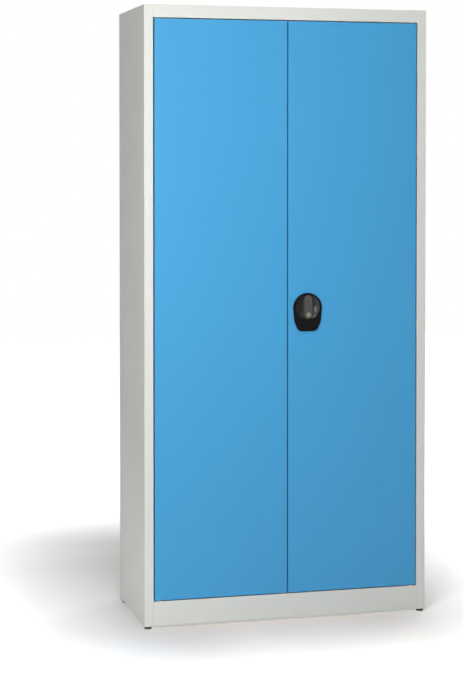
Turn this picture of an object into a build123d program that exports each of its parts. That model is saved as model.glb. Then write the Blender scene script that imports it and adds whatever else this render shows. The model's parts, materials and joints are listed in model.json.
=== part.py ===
from build123d import *

import math
import os

os.makedirs("parts", exist_ok=True)

# Tall tool cabinet of folded sheet steel with two flush doors and a swivel handle.
# Millimetres, +X right, +Y to the back, +Z up, origin at the centre of the footprint.

# Cabinet body
HEIGHT = 1950.0  # floor to crown sheet
WIDTH = 930.0
DEPTH = 400.0  # front sheet to back sheet, without the handle
SHEET = 1.0  # sheet of the body and the doors
FOLD = 0.9  # centre-line radius of a fold
FOOT_HEIGHT = 8.0
STILE = 29.0  # front face of each side panel
TOP_RAIL = 40.0
PLINTH = 77.0
STILE_RETURN = 22.0
RAIL_RETURN = 32.0
REBATE_LIP = 14.0
BACK_FLANGE = 20.0
BASE_RETURN = 20.0
CLEAR = 0.3  # running clearance between pieces
SEAM = 0.5  # gap of a piece welded into a folded corner

# Doors
DOOR_THICK = 20.0
DOOR_FOLD = 1.6  # outer radius of the folds round the door face
DOOR_RETURN = 15.0  # second fold round the back of a door
SIDE_GAP = 4.0
CENTRE_GAP = 3.5
TOP_GAP = 3.0
BOTTOM_GAP = 3.0
PIVOT_IN = 15.0  # pivot axis from the outer edge of a door
PIVOT_BACK = 8.5  # pivot axis from the face of a door
PIVOT_DIA = 6.0
PIVOT_REACH = 12.0  # pin beyond the door
PIVOT_PLATE = 3.0
PIVOT_PLATE_LENGTH = 30.0
BUSH_WALL = 1.4
BUSH_FLANGE = 1.1  # flange beyond the outer wall of a bush
BUSH_LENGTH = 6.0
STIFFENER_WIDTH = 40.0
STIFFENER_FLANGE = 14.0
STIFFENER_DEPTH = 15.0
STIFFENER_SHORT = 40.0  # the stiffener stops this far from each end of the door
BUFFER_DIA = 10.0
BUFFER_FROM_CENTRE = 150.0
BUFFER_DROP = 8.0  # below the top of the opening

# Shelving
UPRIGHT_SHEET = 1.2
UPRIGHT_WIDTH = 30.0
UPRIGHT_DEPTH = 15.0
UPRIGHT_FOOT = 9.0
UPRIGHT_SHORT = 12.0  # below the top of the opening
UPRIGHT_FROM_FRONT = 75.0
UPRIGHT_FROM_BACK = 70.0
SLOT_PITCH = 125.0
SLOT_WIDTH = 16.0
SLOT_HEIGHT = 5.0
SHELF_COUNT = 4
SHELF_STEP = 3  # slots from shelf to shelf
SHELF_FOLD = 30.0
SHELF_LIP = 12.0
SHELF_FROM_FRONT = 40.0
SHELF_FROM_BACK = 6.0
CLIP_SHEET = 2.0
CLIP_WIDTH = 14.0
CLIP_DROP = 16.0
CLIP_LEDGE = 16.0
CLIP_HOOK = 7.0

# Feet
FOOT_DIA = 24.0
FOOT_INSET = 13.0  # foot centre from the sides and the front
FOOT_FROM_BACK = 45.0
FOOT_PLATE = 3.0
FOOT_PLATE_DEPTH = 21.0

# Handle: escutcheon with a spherical dish and a fin that turns in it
HANDLE_X = 65.0  # handle axis from the middle of the cabinet
HANDLE_Z = 999.5  # handle axis above the floor
HANDLE_PROUD = 16.0  # fin in front of the door face
RIM_PROUD = 6.0
SHIELD_SHOULDER = 36.6  # radii, offsets and heights of the outline's arcs about the axis
SHIELD_SHOULDER_OUT = 9.3
SHIELD_SHOULDER_UP = 8.5
SHIELD_HIP = 24.0
SHIELD_HIP_OUT = 18.9
SHIELD_HIP_DOWN = 39.0
SHIELD_CORNER = 15.0
SHIELD_CORNER_OUT = 17.5
SHIELD_BELLY = 24.0
SHIELD_BELOW = 78.5
SHIELD_EDGE = 2.5
DISH_RADIUS = 39.0
DISH_DEPTH = 15.0
BOWL_WALL = 3.0
DISH_CLEAR = 1.2  # between the fin and the dish
BOSS_WIDTH = 7.0
BOSS_RADIUS = 29.0  # screw pads on the back of the bowl
BOSS_ANGLE = 67.0  # degrees, between the two rods
FIN_TOP_RADIUS = 12.8
FIN_TOP_UP = 25.2
FIN_LOW_RADIUS = 14.0
FIN_CROWN_DROP = 5.0  # the fin ends stand this much lower than its middle
NECK_DIA = 16.0
LOCK_BELOW = 24.0  # lock cylinder below the handle axis
LOCK_DIA = 15.0
LOCK_LENGTH = 15.0
LOCK_PROUD = 1.0
PLUG_DIA = 10.4
PLUG_DEPTH = 12.0
KEYWAY_WIDTH = 1.8
KEYWAY_HEIGHT = 6.8
KEYWAY_DEPTH = 8.0

# Lock drive behind the right door
SPINDLE = 7.0  # square
SPINDLE_INTO_KNOB = 15.0
CRANK_RADIUS = 18.0
CRANK_PIN_DIA = 6.0
CRANK_HUB = 11.0
CRANK_EYE = 5.5
CRANK_PLATE = 2.5
YOKE_THICK = 2.5
YOKE_PLAY = 0.8  # slot clearance round the crank pin
YOKE_WALL = 3.2
YOKE_NECK = 12.0
YOKE_REACH = 42.0
YOKE_GAP = 0.75  # between bowl, yoke and crank plate
ROD_DIA = 8.0
GUIDE_SHEET = 2.0
GUIDE_WIDTH = 22.0
GUIDE_FOOT = 16.0
GUIDE_FROM_HANDLE = 540.0
BRIDGE_SHEET = 1.5
BRIDGE_WIDTH = 17.0
BRIDGE_FOOT = 9.0
BRIDGE_GAP = 0.7
SCREW_ACROSS = 7.0  # hexagon head
SCREW_HEAD = 2.5
SCREW_DIA = 3.5
SCREW_LENGTH = 9.0
TONGUE_LENGTH = 77.0
TONGUE_WIDTH = 20.0
TONGUE_HUB = 13.0
TONGUE_SHEET = 3.0
TONGUE_JOGGLE = 3.0
TONGUE_JOGGLE_FROM = 58.0
TONGUE_JOGGLE_TO = 62.0
TONGUE_GAP = 1.0  # between the tongue tip and the back of the left door
SPACER = 12.0
HEX_ACROSS = 13.0
HEX_HEAD = 5.0

# Planes and limits of the body
FRONT = -(DEPTH + HANDLE_PROUD) / 2 + HANDLE_PROUD
BACK = FRONT + DEPTH
MID_DEPTH = (FRONT + BACK) / 2
HALF_WIDTH = WIDTH / 2
OPEN_HALF = HALF_WIDTH - STILE
OPEN_TOP = HEIGHT - TOP_RAIL
BASE = FOOT_HEIGHT
FLOOR = BASE + PLINTH
WALL_IN = HALF_WIDTH - SHEET
BACK_IN = BACK - 2 * SHEET
MID_SHEET = SHEET / 2

# Limits of the doors
DOOR_OUT = OPEN_HALF - SIDE_GAP
DOOR_IN = CENTRE_GAP / 2
DOOR_WIDTH = DOOR_OUT - DOOR_IN
DOOR_MID = (DOOR_OUT + DOOR_IN) / 2
DOOR_LOW = FLOOR + BOTTOM_GAP
DOOR_TOP = OPEN_TOP - TOP_GAP
DOOR_HEIGHT = DOOR_TOP - DOOR_LOW
DOOR_MID_Z = (DOOR_TOP + DOOR_LOW) / 2
DOOR_BACK = FRONT + DOOR_THICK
PIVOT_X = DOOR_OUT - PIVOT_IN
PIVOT_Y = FRONT + PIVOT_BACK
BUSH_DIA = PIVOT_DIA + 2 * (BUSH_WALL + CLEAR / 2)

# Depths of the lock drive, from the bowl backwards
BOWL_BACK = FRONT - RIM_PROUD + DISH_DEPTH + BOWL_WALL
YOKE_FRONT = BOWL_BACK + YOKE_GAP
ROD_Y = YOKE_FRONT + YOKE_THICK / 2
CRANK_FRONT = YOKE_FRONT + YOKE_THICK + YOKE_GAP
CRANK_BACK = CRANK_FRONT + CRANK_PLATE
BRIDGE_FRONT = CRANK_BACK + BRIDGE_GAP
BRIDGE_BACK = BRIDGE_FRONT + BRIDGE_SHEET
TONGUE_FRONT = DOOR_BACK + TONGUE_GAP + TONGUE_JOGGLE
TONGUE_BACK = TONGUE_FRONT + TONGUE_SHEET
CRANK_REACH = CRANK_RADIUS * math.sin(math.radians(45))
ROD_OFFSET = (CRANK_RADIUS + CRANK_REACH) / 2
BOWL_RADIUS = DISH_RADIUS - 5.0
BOSS_X = BOSS_RADIUS * math.cos(math.radians(BOSS_ANGLE))
BOSS_Z = BOSS_RADIUS * math.sin(math.radians(BOSS_ANGLE))
BOSSES = [(HANDLE_X + BOSS_X, HANDLE_Z + BOSS_Z), (HANDLE_X - BOSS_X, HANDLE_Z - BOSS_Z)]
SPINDLE_HALF_DIAGONAL = SPINDLE / math.sqrt(2)

# The dish is part of a sphere.
DISH_SPHERE = (DISH_RADIUS**2 + DISH_DEPTH**2) / (2 * DISH_DEPTH)
DISH_CENTRE_Y = FRONT - RIM_PROUD + DISH_DEPTH - DISH_SPHERE

SIDES = ((-1, "left"), (1, "right"))


def level(z):
    """Horizontal plane at height z, seen from above."""
    return Plane.XY.offset(z)


def front_at(y):
    """Upright plane at depth y that looks forward."""
    return Plane.XZ.offset(-y)


def side_at(x):
    """Upright plane at x that looks to the right."""
    return Plane.YZ.offset(x)


def folded(plane, points, sheet=SHEET, radius=FOLD):
    """Section of a sheet with round folds along the points of its middle line."""
    with BuildSketch(plane, mode=Mode.PRIVATE) as section:
        with BuildLine():
            FilletPolyline(*points, radius=radius)
        trace(line_width=sheet)
    return section.sketch


def pressed(plane, points, sheet):
    """Section of a pressed part with sharp folds along the points of its middle line."""
    with BuildSketch(plane, mode=Mode.PRIVATE) as section:
        with BuildLine():
            Polyline(*points)
        trace(line_width=sheet)
    return section.sketch


# Side panels: stile with its return, side wall, back flange and base flange
for hand, side in SIDES:
    stile_x = hand * (OPEN_HALF + MID_SHEET)
    wall_x = hand * (HALF_WIDTH - MID_SHEET)
    outline = [
        (stile_x, FRONT + STILE_RETURN),
        (stile_x, FRONT + MID_SHEET),
        (wall_x, FRONT + MID_SHEET),
        (wall_x, BACK - MID_SHEET),
        (hand * (HALF_WIDTH - BACK_FLANGE), BACK - MID_SHEET),
    ]
    flange_front = FRONT + FOOT_PLATE_DEPTH + 2 * SHEET
    flange_back = BACK_IN - SEAM
    with BuildPart() as side_panel:
        extrude(folded(level(BASE), outline), amount=HEIGHT - SHEET - BASE)
        with BuildSketch(level(BASE)):
            with Locations((hand * (HALF_WIDTH - BASE_RETURN / 2), (flange_front + flange_back) / 2)):
                Rectangle(BASE_RETURN, flange_back - flange_front)
        extrude(amount=SHEET)
    side_panel.part.label = f"side_panel_{side}"
    export_step(side_panel.part, f"parts/side_panel_{side}.step")

# Top panel: crown sheet, front rail with its return and rebate lip, back flange
rail = [
    (FRONT + MID_SHEET, HEIGHT - MID_SHEET),
    (FRONT + MID_SHEET, OPEN_TOP + MID_SHEET),
    (FRONT + RAIL_RETURN - MID_SHEET, OPEN_TOP + MID_SHEET),
    (FRONT + RAIL_RETURN - MID_SHEET, OPEN_TOP - REBATE_LIP),
]
with BuildPart() as top_panel:
    with BuildSketch(level(HEIGHT - SHEET)):
        with Locations((0, MID_DEPTH)):
            RectangleRounded(WIDTH, DEPTH, FOLD + MID_SHEET)
    extrude(amount=SHEET)
    extrude(folded(side_at(-OPEN_HALF), rail), amount=2 * OPEN_HALF)
    with BuildSketch(level(HEIGHT - BACK_FLANGE)):
        with Locations((0, BACK - MID_SHEET)):
            Rectangle(2 * (HALF_WIDTH - BACK_FLANGE), SHEET)
    extrude(amount=BACK_FLANGE - SHEET)
    # Ends of the lip stand clear of the rear corners of the swinging doors.
    with BuildSketch(level(OPEN_TOP - REBATE_LIP)):
        with Locations(*((hand * OPEN_HALF, FRONT + RAIL_RETURN - MID_SHEET) for hand, side in SIDES)):
            Rectangle(4 * PIVOT_IN, 2 * SHEET)
    extrude(amount=REBATE_LIP, mode=Mode.SUBTRACT)
    # Holes of the upper pivots and the keeper hole of the upper rod
    with BuildSketch(level(OPEN_TOP - SHEET)):
        with Locations((-PIVOT_X, PIVOT_Y), (PIVOT_X, PIVOT_Y)):
            Circle(PIVOT_DIA / 2 + CLEAR)
        with Locations((HANDLE_X - ROD_OFFSET, ROD_Y)):
            Circle(ROD_DIA / 2 + 3 * CLEAR)
    extrude(amount=3 * SHEET, mode=Mode.SUBTRACT)
top_panel.part.label = "top_panel"
export_step(top_panel.part, "parts/top_panel.step")

# Base panel: plinth with its return, and the floor sheet with its flange at the back
plinth = [
    (FRONT + BASE_RETURN, BASE + MID_SHEET),
    (FRONT + MID_SHEET, BASE + MID_SHEET),
    (FRONT + MID_SHEET, FLOOR - MID_SHEET),
    (BACK_IN - MID_SHEET, FLOOR - MID_SHEET),
    (BACK_IN - MID_SHEET, FLOOR - BASE_RETURN),
]
wing_front = FRONT + STILE_RETURN
with BuildPart() as base_panel:
    extrude(folded(side_at(-OPEN_HALF), plinth), amount=2 * OPEN_HALF)
    with BuildSketch(level(FLOOR - SHEET)):
        with Locations((0, (wing_front + BACK_IN - FOLD) / 2)):
            Rectangle(2 * (WALL_IN - SEAM), BACK_IN - FOLD - wing_front)
    extrude(amount=SHEET)
    with BuildSketch(level(FLOOR - 2 * SHEET)):
        with Locations((-PIVOT_X, PIVOT_Y), (PIVOT_X, PIVOT_Y)):
            Circle(BUSH_DIA / 2)
        with Locations((HANDLE_X + ROD_OFFSET, ROD_Y)):
            Circle(ROD_DIA / 2 + 3 * CLEAR)
    extrude(amount=3 * SHEET, mode=Mode.SUBTRACT)
base_panel.part.label = "base_panel"
export_step(base_panel.part, "parts/base_panel.step")

# Back panel: one sheet inside the back flanges
with BuildPart() as back_panel:
    with BuildSketch(front_at(BACK - SHEET)):
        with Locations((0, (BASE + HEIGHT - SHEET) / 2)):
            Rectangle(2 * (WALL_IN - SEAM), HEIGHT - SHEET - BASE)
    extrude(amount=SHEET)
back_panel.part.label = "back_panel"
export_step(back_panel.part, "parts/back_panel.step")

# Uprights: slotted top-hat sections on the side walls
upright_top = OPEN_TOP - UPRIGHT_SHORT
slot_count = int((upright_top - FLOOR - SLOT_PITCH / 2) / SLOT_PITCH)
slot_middle = FLOOR + SLOT_PITCH * (slot_count + 1) / 2
web_in = WALL_IN - UPRIGHT_DEPTH
upright_rows = {"front": FRONT + UPRIGHT_FROM_FRONT, "back": BACK - UPRIGHT_FROM_BACK}
for hand, side in SIDES:
    for row, y in upright_rows.items():
        foot_x = hand * (WALL_IN - UPRIGHT_SHEET / 2)
        web_x = hand * (web_in + UPRIGHT_SHEET / 2)
        half = UPRIGHT_WIDTH / 2 - UPRIGHT_SHEET / 2
        hat = [
            (foot_x, y - half - UPRIGHT_FOOT),
            (foot_x, y - half),
            (web_x, y - half),
            (web_x, y + half),
            (foot_x, y + half),
            (foot_x, y + half + UPRIGHT_FOOT),
        ]
        with BuildPart() as upright:
            extrude(pressed(level(FLOOR), hat, UPRIGHT_SHEET), amount=upright_top - FLOOR)
            with BuildSketch(side_at(web_x)):
                with Locations((y, slot_middle)):
                    with GridLocations(SLOT_PITCH, SLOT_PITCH, 1, slot_count):
                        Rectangle(SLOT_WIDTH, SLOT_HEIGHT)
            extrude(amount=UPRIGHT_SHEET, both=True, mode=Mode.SUBTRACT)
        upright.part.label = f"upright_{row}_{side}"
        export_step(upright.part, f"parts/upright_{row}_{side}.step")

# Shelves: trays with a fold and a lip on all four sides, each hung on four clips
shelf_half = web_in - CLIP_SHEET - 2 * SEAM
shelf_front = FRONT + SHELF_FROM_FRONT
shelf_back = BACK_IN - SHELF_FROM_BACK
shelf_depth = shelf_back - shelf_front
shelf_middle = (shelf_front + shelf_back) / 2
for number in range(1, SHELF_COUNT + 1):
    slot_z = FLOOR + SLOT_PITCH * SHELF_STEP * number
    ledge_z = slot_z - CLIP_DROP + CLIP_SHEET / 2
    with BuildPart() as shelf:
        with BuildSketch(level(ledge_z)):
            with Locations((0, shelf_middle)):
                Rectangle(2 * shelf_half, shelf_depth)
        extrude(amount=SHELF_FOLD)
        fillet(shelf.faces().sort_by(Axis.Z)[-1].edges(), radius=FOLD + MID_SHEET)
        with BuildSketch(level(ledge_z + SHEET)):
            with Locations((0, shelf_middle)):
                Rectangle(2 * (shelf_half - SHEET), shelf_depth - 2 * SHEET)
        extrude(amount=SHELF_FOLD - 2 * SHEET, mode=Mode.SUBTRACT)
        with BuildSketch(level(ledge_z)):
            with Locations((0, shelf_middle)):
                Rectangle(2 * (shelf_half - SHELF_LIP), shelf_depth - 2 * SHELF_LIP)
        extrude(amount=2 * SHEET, mode=Mode.SUBTRACT)
    shelf.part.label = f"shelf_{number}"
    export_step(shelf.part, f"parts/shelf_{number}.step")

    with BuildPart() as shelf_clips:
        for hand, side in SIDES:
            hook_x = hand * (web_in + UPRIGHT_SHEET + CLEAR + CLIP_SHEET / 2)
            plate_x = hand * (web_in - CLIP_SHEET / 2)
            hook = [
                (hook_x, slot_z + CLIP_HOOK),
                (hook_x, slot_z),
                (plate_x, slot_z),
                (plate_x, slot_z - CLIP_DROP),
                (plate_x - hand * CLIP_LEDGE, slot_z - CLIP_DROP),
            ]
            for y in upright_rows.values():
                section = pressed(front_at(y), hook, CLIP_SHEET)
                extrude(section, amount=CLIP_WIDTH / 2, both=True)
    shelf_clips.part.label = f"shelf_clips_{number}"
    export_step(shelf_clips.part, f"parts/shelf_clips_{number}.step")

# Feet: round glides under plates, in the front corners and on the base flanges at the back
foot_rows = (FRONT + FOOT_INSET, BACK - FOOT_FROM_BACK)
plate_out = WALL_IN - SEAM
plate_in = OPEN_HALF + SHEET + SEAM
plate_rows = (
    (FRONT + SHEET + SEAM + FOOT_PLATE_DEPTH / 2, BASE),
    (BACK - FOOT_FROM_BACK, BASE + SHEET),
)
with BuildPart() as foot_plates:
    for y, z in plate_rows:
        with BuildSketch(level(z)):
            with Locations(*((hand * (plate_in + plate_out) / 2, y) for hand, side in SIDES)):
                Rectangle(plate_out - plate_in, FOOT_PLATE_DEPTH)
        extrude(amount=FOOT_PLATE)
foot_plates.part.label = "foot_plates"
export_step(foot_plates.part, "parts/foot_plates.step")

foot_places = [(hand * (HALF_WIDTH - FOOT_INSET), y) for hand, side in SIDES for y in foot_rows]
with BuildPart() as feet:
    with BuildSketch(level(0)):
        with Locations(*foot_places):
            Circle(FOOT_DIA / 2)
    extrude(amount=FOOT_HEIGHT)
feet.part.label = "feet"
export_step(feet.part, "parts/feet.step")

# Doors: trays folded twice round the edge, with a stiffener down the middle
for hand, side in SIDES:
    with BuildPart() as door:
        with BuildSketch(front_at(FRONT)):
            with Locations((hand * DOOR_MID, DOOR_MID_Z)):
                Rectangle(DOOR_WIDTH, DOOR_HEIGHT)
        extrude(amount=-DOOR_THICK)
        fillet(door.faces().sort_by(Axis.Y)[0].edges(), radius=DOOR_FOLD)
        with BuildSketch(front_at(FRONT + SHEET)):
            with Locations((hand * DOOR_MID, DOOR_MID_Z)):
                Rectangle(DOOR_WIDTH - 2 * SHEET, DOOR_HEIGHT - 2 * SHEET)
        extrude(amount=-(DOOR_THICK - 2 * SHEET), mode=Mode.SUBTRACT)
        with BuildSketch(front_at(DOOR_BACK)):
            with Locations((hand * DOOR_MID, DOOR_MID_Z)):
                Rectangle(DOOR_WIDTH - 2 * DOOR_RETURN, DOOR_HEIGHT - 2 * DOOR_RETURN)
        extrude(amount=2 * SHEET, mode=Mode.SUBTRACT)
        # Pivot holes through the top and bottom folds
        with BuildSketch(level(DOOR_LOW - SHEET)):
            with Locations((hand * PIVOT_X, PIVOT_Y)):
                Circle(PIVOT_DIA / 2 + CLEAR / 2)
        extrude(amount=DOOR_HEIGHT + 2 * SHEET, mode=Mode.SUBTRACT)
        if side == "right":
            # Opening for the bowl of the escutcheon
            with BuildSketch(front_at(FRONT + 2 * SHEET)):
                with Locations((HANDLE_X, HANDLE_Z)):
                    Circle(BOWL_RADIUS + CLEAR)
            extrude(amount=3 * SHEET, mode=Mode.SUBTRACT)
            # Rod holes through the top and bottom folds
            with BuildSketch(level(DOOR_TOP - 2 * SHEET)):
                with Locations((HANDLE_X - ROD_OFFSET, ROD_Y)):
                    Circle(ROD_DIA / 2 + 2 * CLEAR)
            extrude(amount=3 * SHEET, mode=Mode.SUBTRACT)
            with BuildSketch(level(DOOR_LOW - SHEET)):
                with Locations((HANDLE_X + ROD_OFFSET, ROD_Y)):
                    Circle(ROD_DIA / 2 + 2 * CLEAR)
            extrude(amount=3 * SHEET, mode=Mode.SUBTRACT)
    door.part.label = f"door_{side}"
    export_step(door.part, f"parts/door_{side}.step")

    flange_y = FRONT + SHEET + MID_SHEET
    web_y = FRONT + SHEET + STIFFENER_DEPTH - MID_SHEET
    middle = hand * DOOR_MID
    half = STIFFENER_WIDTH / 2 - MID_SHEET
    hat = [
        (middle - half - STIFFENER_FLANGE, flange_y),
        (middle - half, flange_y),
        (middle - half, web_y),
        (middle + half, web_y),
        (middle + half, flange_y),
        (middle + half + STIFFENER_FLANGE, flange_y),
    ]
    with BuildPart() as stiffener:
        section = pressed(level(DOOR_LOW + STIFFENER_SHORT), hat, SHEET)
        extrude(section, amount=DOOR_HEIGHT - 2 * STIFFENER_SHORT)
    stiffener.part.label = f"door_stiffener_{side}"
    export_step(stiffener.part, f"parts/door_stiffener_{side}.step")

# Door pivots: a pin on a welded plate at each end of a door
ends = ((1, DOOR_TOP, TOP_GAP), (-1, DOOR_LOW, BOTTOM_GAP))
plate_depth = DOOR_THICK - 2 * SHEET - 2 * SEAM
plate_x = DOOR_OUT - SHEET - SEAM - PIVOT_PLATE_LENGTH / 2
for hand, side in SIDES:
    with BuildPart() as pivots:
        for up, door_z, gap in ends:
            with BuildSketch(level(door_z - up * SHEET)):
                with Locations((hand * plate_x, FRONT + DOOR_THICK / 2)):
                    Rectangle(PIVOT_PLATE_LENGTH, plate_depth)
            extrude(amount=-up * PIVOT_PLATE)
            with BuildSketch(level(door_z - up * SHEET)):
                with Locations((hand * PIVOT_X, PIVOT_Y)):
                    Circle(PIVOT_DIA / 2)
            extrude(amount=up * (SHEET + gap + PIVOT_REACH))
    pivots.part.label = f"pivots_{side}"
    export_step(pivots.part, f"parts/pivots_{side}.step")

# Bushes of the lower pivots: the doors turn on their flanges
lower_pivots = [(hand * PIVOT_X, PIVOT_Y) for hand, side in SIDES]
with BuildPart() as pivot_bushes:
    with BuildSketch(level(FLOOR)):
        with Locations(*lower_pivots):
            Circle(BUSH_DIA / 2 - CLEAR / 2)
    extrude(amount=-(SHEET + BUSH_LENGTH))
    with BuildSketch(level(FLOOR)):
        with Locations(*lower_pivots):
            Circle(BUSH_DIA / 2 + BUSH_FLANGE)
    extrude(amount=BOTTOM_GAP - CLEAR)
    with BuildSketch(level(DOOR_LOW)):
        with Locations(*lower_pivots):
            Circle(PIVOT_DIA / 2 + CLEAR / 2)
    extrude(amount=-(BOTTOM_GAP + 2 * SHEET + BUSH_LENGTH), mode=Mode.SUBTRACT)
pivot_bushes.part.label = "pivot_bushes"
export_step(pivot_bushes.part, "parts/pivot_bushes.step")

# Rubber buffers on the rebate lip
with BuildPart() as door_buffers:
    with BuildSketch(front_at(FRONT + RAIL_RETURN - SHEET)):
        with Locations(*((hand * BUFFER_FROM_CENTRE, OPEN_TOP - BUFFER_DROP) for hand, side in SIDES)):
            Circle(BUFFER_DIA / 2)
    extrude(amount=RAIL_RETURN - SHEET - DOOR_THICK - CLEAR)
door_buffers.part.label = "door_buffers"
export_step(door_buffers.part, "parts/door_buffers.step")

# Escutcheon: egg-shaped plate with a spherical dish, a bowl behind it and screw pads
shield_circles = [(0, SHIELD_BELLY - SHIELD_BELOW, SHIELD_BELLY)]
for hand, side in SIDES:
    shield_circles += [
        (hand * SHIELD_SHOULDER_OUT, SHIELD_SHOULDER_UP, SHIELD_SHOULDER),
        (hand * SHIELD_HIP_OUT, -SHIELD_HIP_DOWN, SHIELD_HIP),
        (hand * SHIELD_CORNER_OUT, SHIELD_CORNER + SHEET - SHIELD_BELOW, SHIELD_CORNER),
    ]
with BuildPart() as escutcheon:
    with BuildSketch(front_at(FRONT)):
        with BuildLine():
            for x, z, radius in shield_circles:
                CenterArc((HANDLE_X + x, HANDLE_Z + z), radius, 0, 360)
        make_hull()
    extrude(amount=RIM_PROUD)
    chamfer(escutcheon.faces().sort_by(Axis.Y)[0].edges(), length=SHIELD_EDGE)
    with BuildSketch(front_at(FRONT)):
        with Locations((HANDLE_X, HANDLE_Z)):
            Circle(BOWL_RADIUS)
    extrude(amount=-(BOWL_BACK - FRONT))
    with BuildSketch(front_at(BOWL_BACK)):
        with Locations(*BOSSES):
            Rectangle(BOSS_WIDTH, BOSS_WIDTH)
    extrude(amount=-(BRIDGE_FRONT - BOWL_BACK))
    with Locations((HANDLE_X, DISH_CENTRE_Y, HANDLE_Z)):
        Sphere(DISH_SPHERE, mode=Mode.SUBTRACT)
    with BuildSketch(front_at(BOWL_BACK)):
        with Locations((HANDLE_X, HANDLE_Z)):
            Circle(NECK_DIA / 2 + CLEAR)
    extrude(amount=BOWL_BACK - FRONT, mode=Mode.SUBTRACT)
    with BuildSketch(front_at(BRIDGE_FRONT)):
        with Locations(*BOSSES):
            Circle(SCREW_DIA / 2)
    extrude(amount=SCREW_LENGTH, mode=Mode.SUBTRACT)
escutcheon.part.label = "escutcheon"
export_step(escutcheon.part, "parts/escutcheon.step")

# Knob: a fin with a crowned front that widens over the lock, its back curved like the dish
fin_tip = FIN_TOP_UP + FIN_TOP_RADIUS
crown_radius = (fin_tip**2 + FIN_CROWN_DROP**2) / (2 * FIN_CROWN_DROP)
fin_back_radius = math.sqrt(DISH_SPHERE**2 - FIN_LOW_RADIUS**2) - DISH_CLEAR
fin_front = FRONT - HANDLE_PROUD
lock_z = HANDLE_Z - LOCK_BELOW
with BuildPart() as knob:
    with BuildSketch(front_at(BOWL_BACK)):
        with BuildLine():
            CenterArc((HANDLE_X, HANDLE_Z + FIN_TOP_UP), FIN_TOP_RADIUS, 0, 360)
            CenterArc((HANDLE_X, lock_z), FIN_LOW_RADIUS, 0, 360)
        make_hull()
    extrude(amount=BOWL_BACK - fin_front)
    with BuildSketch(side_at(HANDLE_X - DISH_RADIUS)):
        with Locations((fin_front + crown_radius, HANDLE_Z)):
            Circle(crown_radius)
        with Locations((DISH_CENTRE_Y, HANDLE_Z)):
            Circle(fin_back_radius, mode=Mode.INTERSECT)
    extrude(amount=2 * DISH_RADIUS, mode=Mode.INTERSECT)
    with BuildSketch(front_at(BOWL_BACK)):
        with Locations((HANDLE_X, HANDLE_Z)):
            Circle(NECK_DIA / 2)
    extrude(amount=SPINDLE_INTO_KNOB)
    # Socket of the spindle and bore of the lock cylinder
    with BuildSketch(front_at(BOWL_BACK + SHEET)):
        with Locations((HANDLE_X, HANDLE_Z)):
            Rectangle(SPINDLE + CLEAR, SPINDLE + CLEAR)
    extrude(amount=SPINDLE_INTO_KNOB + SHEET, mode=Mode.SUBTRACT)
    with BuildSketch(front_at(fin_front - LOCK_PROUD + LOCK_LENGTH + CLEAR)):
        with Locations((HANDLE_X, lock_z)):
            Circle(LOCK_DIA / 2 + CLEAR / 2)
    extrude(amount=LOCK_LENGTH + 2 * LOCK_PROUD, mode=Mode.SUBTRACT)
knob.part.label = "knob"
export_step(knob.part, "parts/knob.step")

# Lock cylinder in the fin, with a plug that turns in it
lock_front = fin_front + crown_radius - math.sqrt(crown_radius**2 - LOCK_BELOW**2) - LOCK_PROUD
lock_back = fin_front - LOCK_PROUD + LOCK_LENGTH
with BuildPart() as lock_cylinder:
    with BuildSketch(front_at(lock_back)):
        with Locations((HANDLE_X, lock_z)):
            Circle(LOCK_DIA / 2)
    extrude(amount=lock_back - lock_front)
    with BuildSketch(front_at(lock_front + PLUG_DEPTH)):
        with Locations((HANDLE_X, lock_z)):
            Circle(PLUG_DIA / 2 + CLEAR)
    extrude(amount=PLUG_DEPTH + LOCK_PROUD, mode=Mode.SUBTRACT)
lock_cylinder.part.label = "lock_cylinder"
export_step(lock_cylinder.part, "parts/lock_cylinder.step")

with BuildPart() as key_plug:
    with BuildSketch(front_at(lock_front + PLUG_DEPTH - CLEAR)):
        with Locations((HANDLE_X, lock_z)):
            Circle(PLUG_DIA / 2)
    extrude(amount=PLUG_DEPTH - CLEAR)
    with BuildSketch(front_at(lock_front + KEYWAY_DEPTH)):
        with Locations((HANDLE_X, lock_z)):
            Rectangle(KEYWAY_WIDTH, KEYWAY_HEIGHT)
    extrude(amount=KEYWAY_DEPTH + CLEAR, mode=Mode.SUBTRACT)
key_plug.part.label = "key_plug"
export_step(key_plug.part, "parts/key_plug.step")

# Square spindle from the knob through the crank plate, the bridge and the tongue
spindle_front = BOWL_BACK - SPINDLE_INTO_KNOB + CLEAR
spindle_back = TONGUE_BACK
with BuildPart() as spindle:
    with BuildSketch(front_at(spindle_back)):
        with Locations((HANDLE_X, HANDLE_Z)):
            Rectangle(SPINDLE, SPINDLE)
    extrude(amount=spindle_back - spindle_front)
spindle.part.label = "spindle"
export_step(spindle.part, "parts/spindle.step")

# Crank plate: its two pins push the rods out through the slots of their yokes
crank_pins = [
    (HANDLE_X - CRANK_REACH, HANDLE_Z - CRANK_REACH),
    (HANDLE_X + CRANK_REACH, HANDLE_Z + CRANK_REACH),
]
with BuildPart() as crank_plate:
    with BuildSketch(front_at(CRANK_BACK)):
        with BuildLine():
            CenterArc((HANDLE_X, HANDLE_Z), CRANK_HUB, 0, 360)
            for pin in crank_pins:
                CenterArc(pin, CRANK_EYE, 0, 360)
        make_hull()
        with Locations((HANDLE_X, HANDLE_Z)):
            Rectangle(SPINDLE + CLEAR, SPINDLE + CLEAR, mode=Mode.SUBTRACT)
    extrude(amount=CRANK_PLATE)
    with BuildSketch(front_at(CRANK_FRONT)):
        with Locations(*crank_pins):
            Circle(CRANK_PIN_DIA / 2)
    extrude(amount=YOKE_GAP + YOKE_THICK + YOKE_GAP / 4)
crank_plate.part.label = "crank_plate"
export_step(crank_plate.part, "parts/crank_plate.step")

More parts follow.
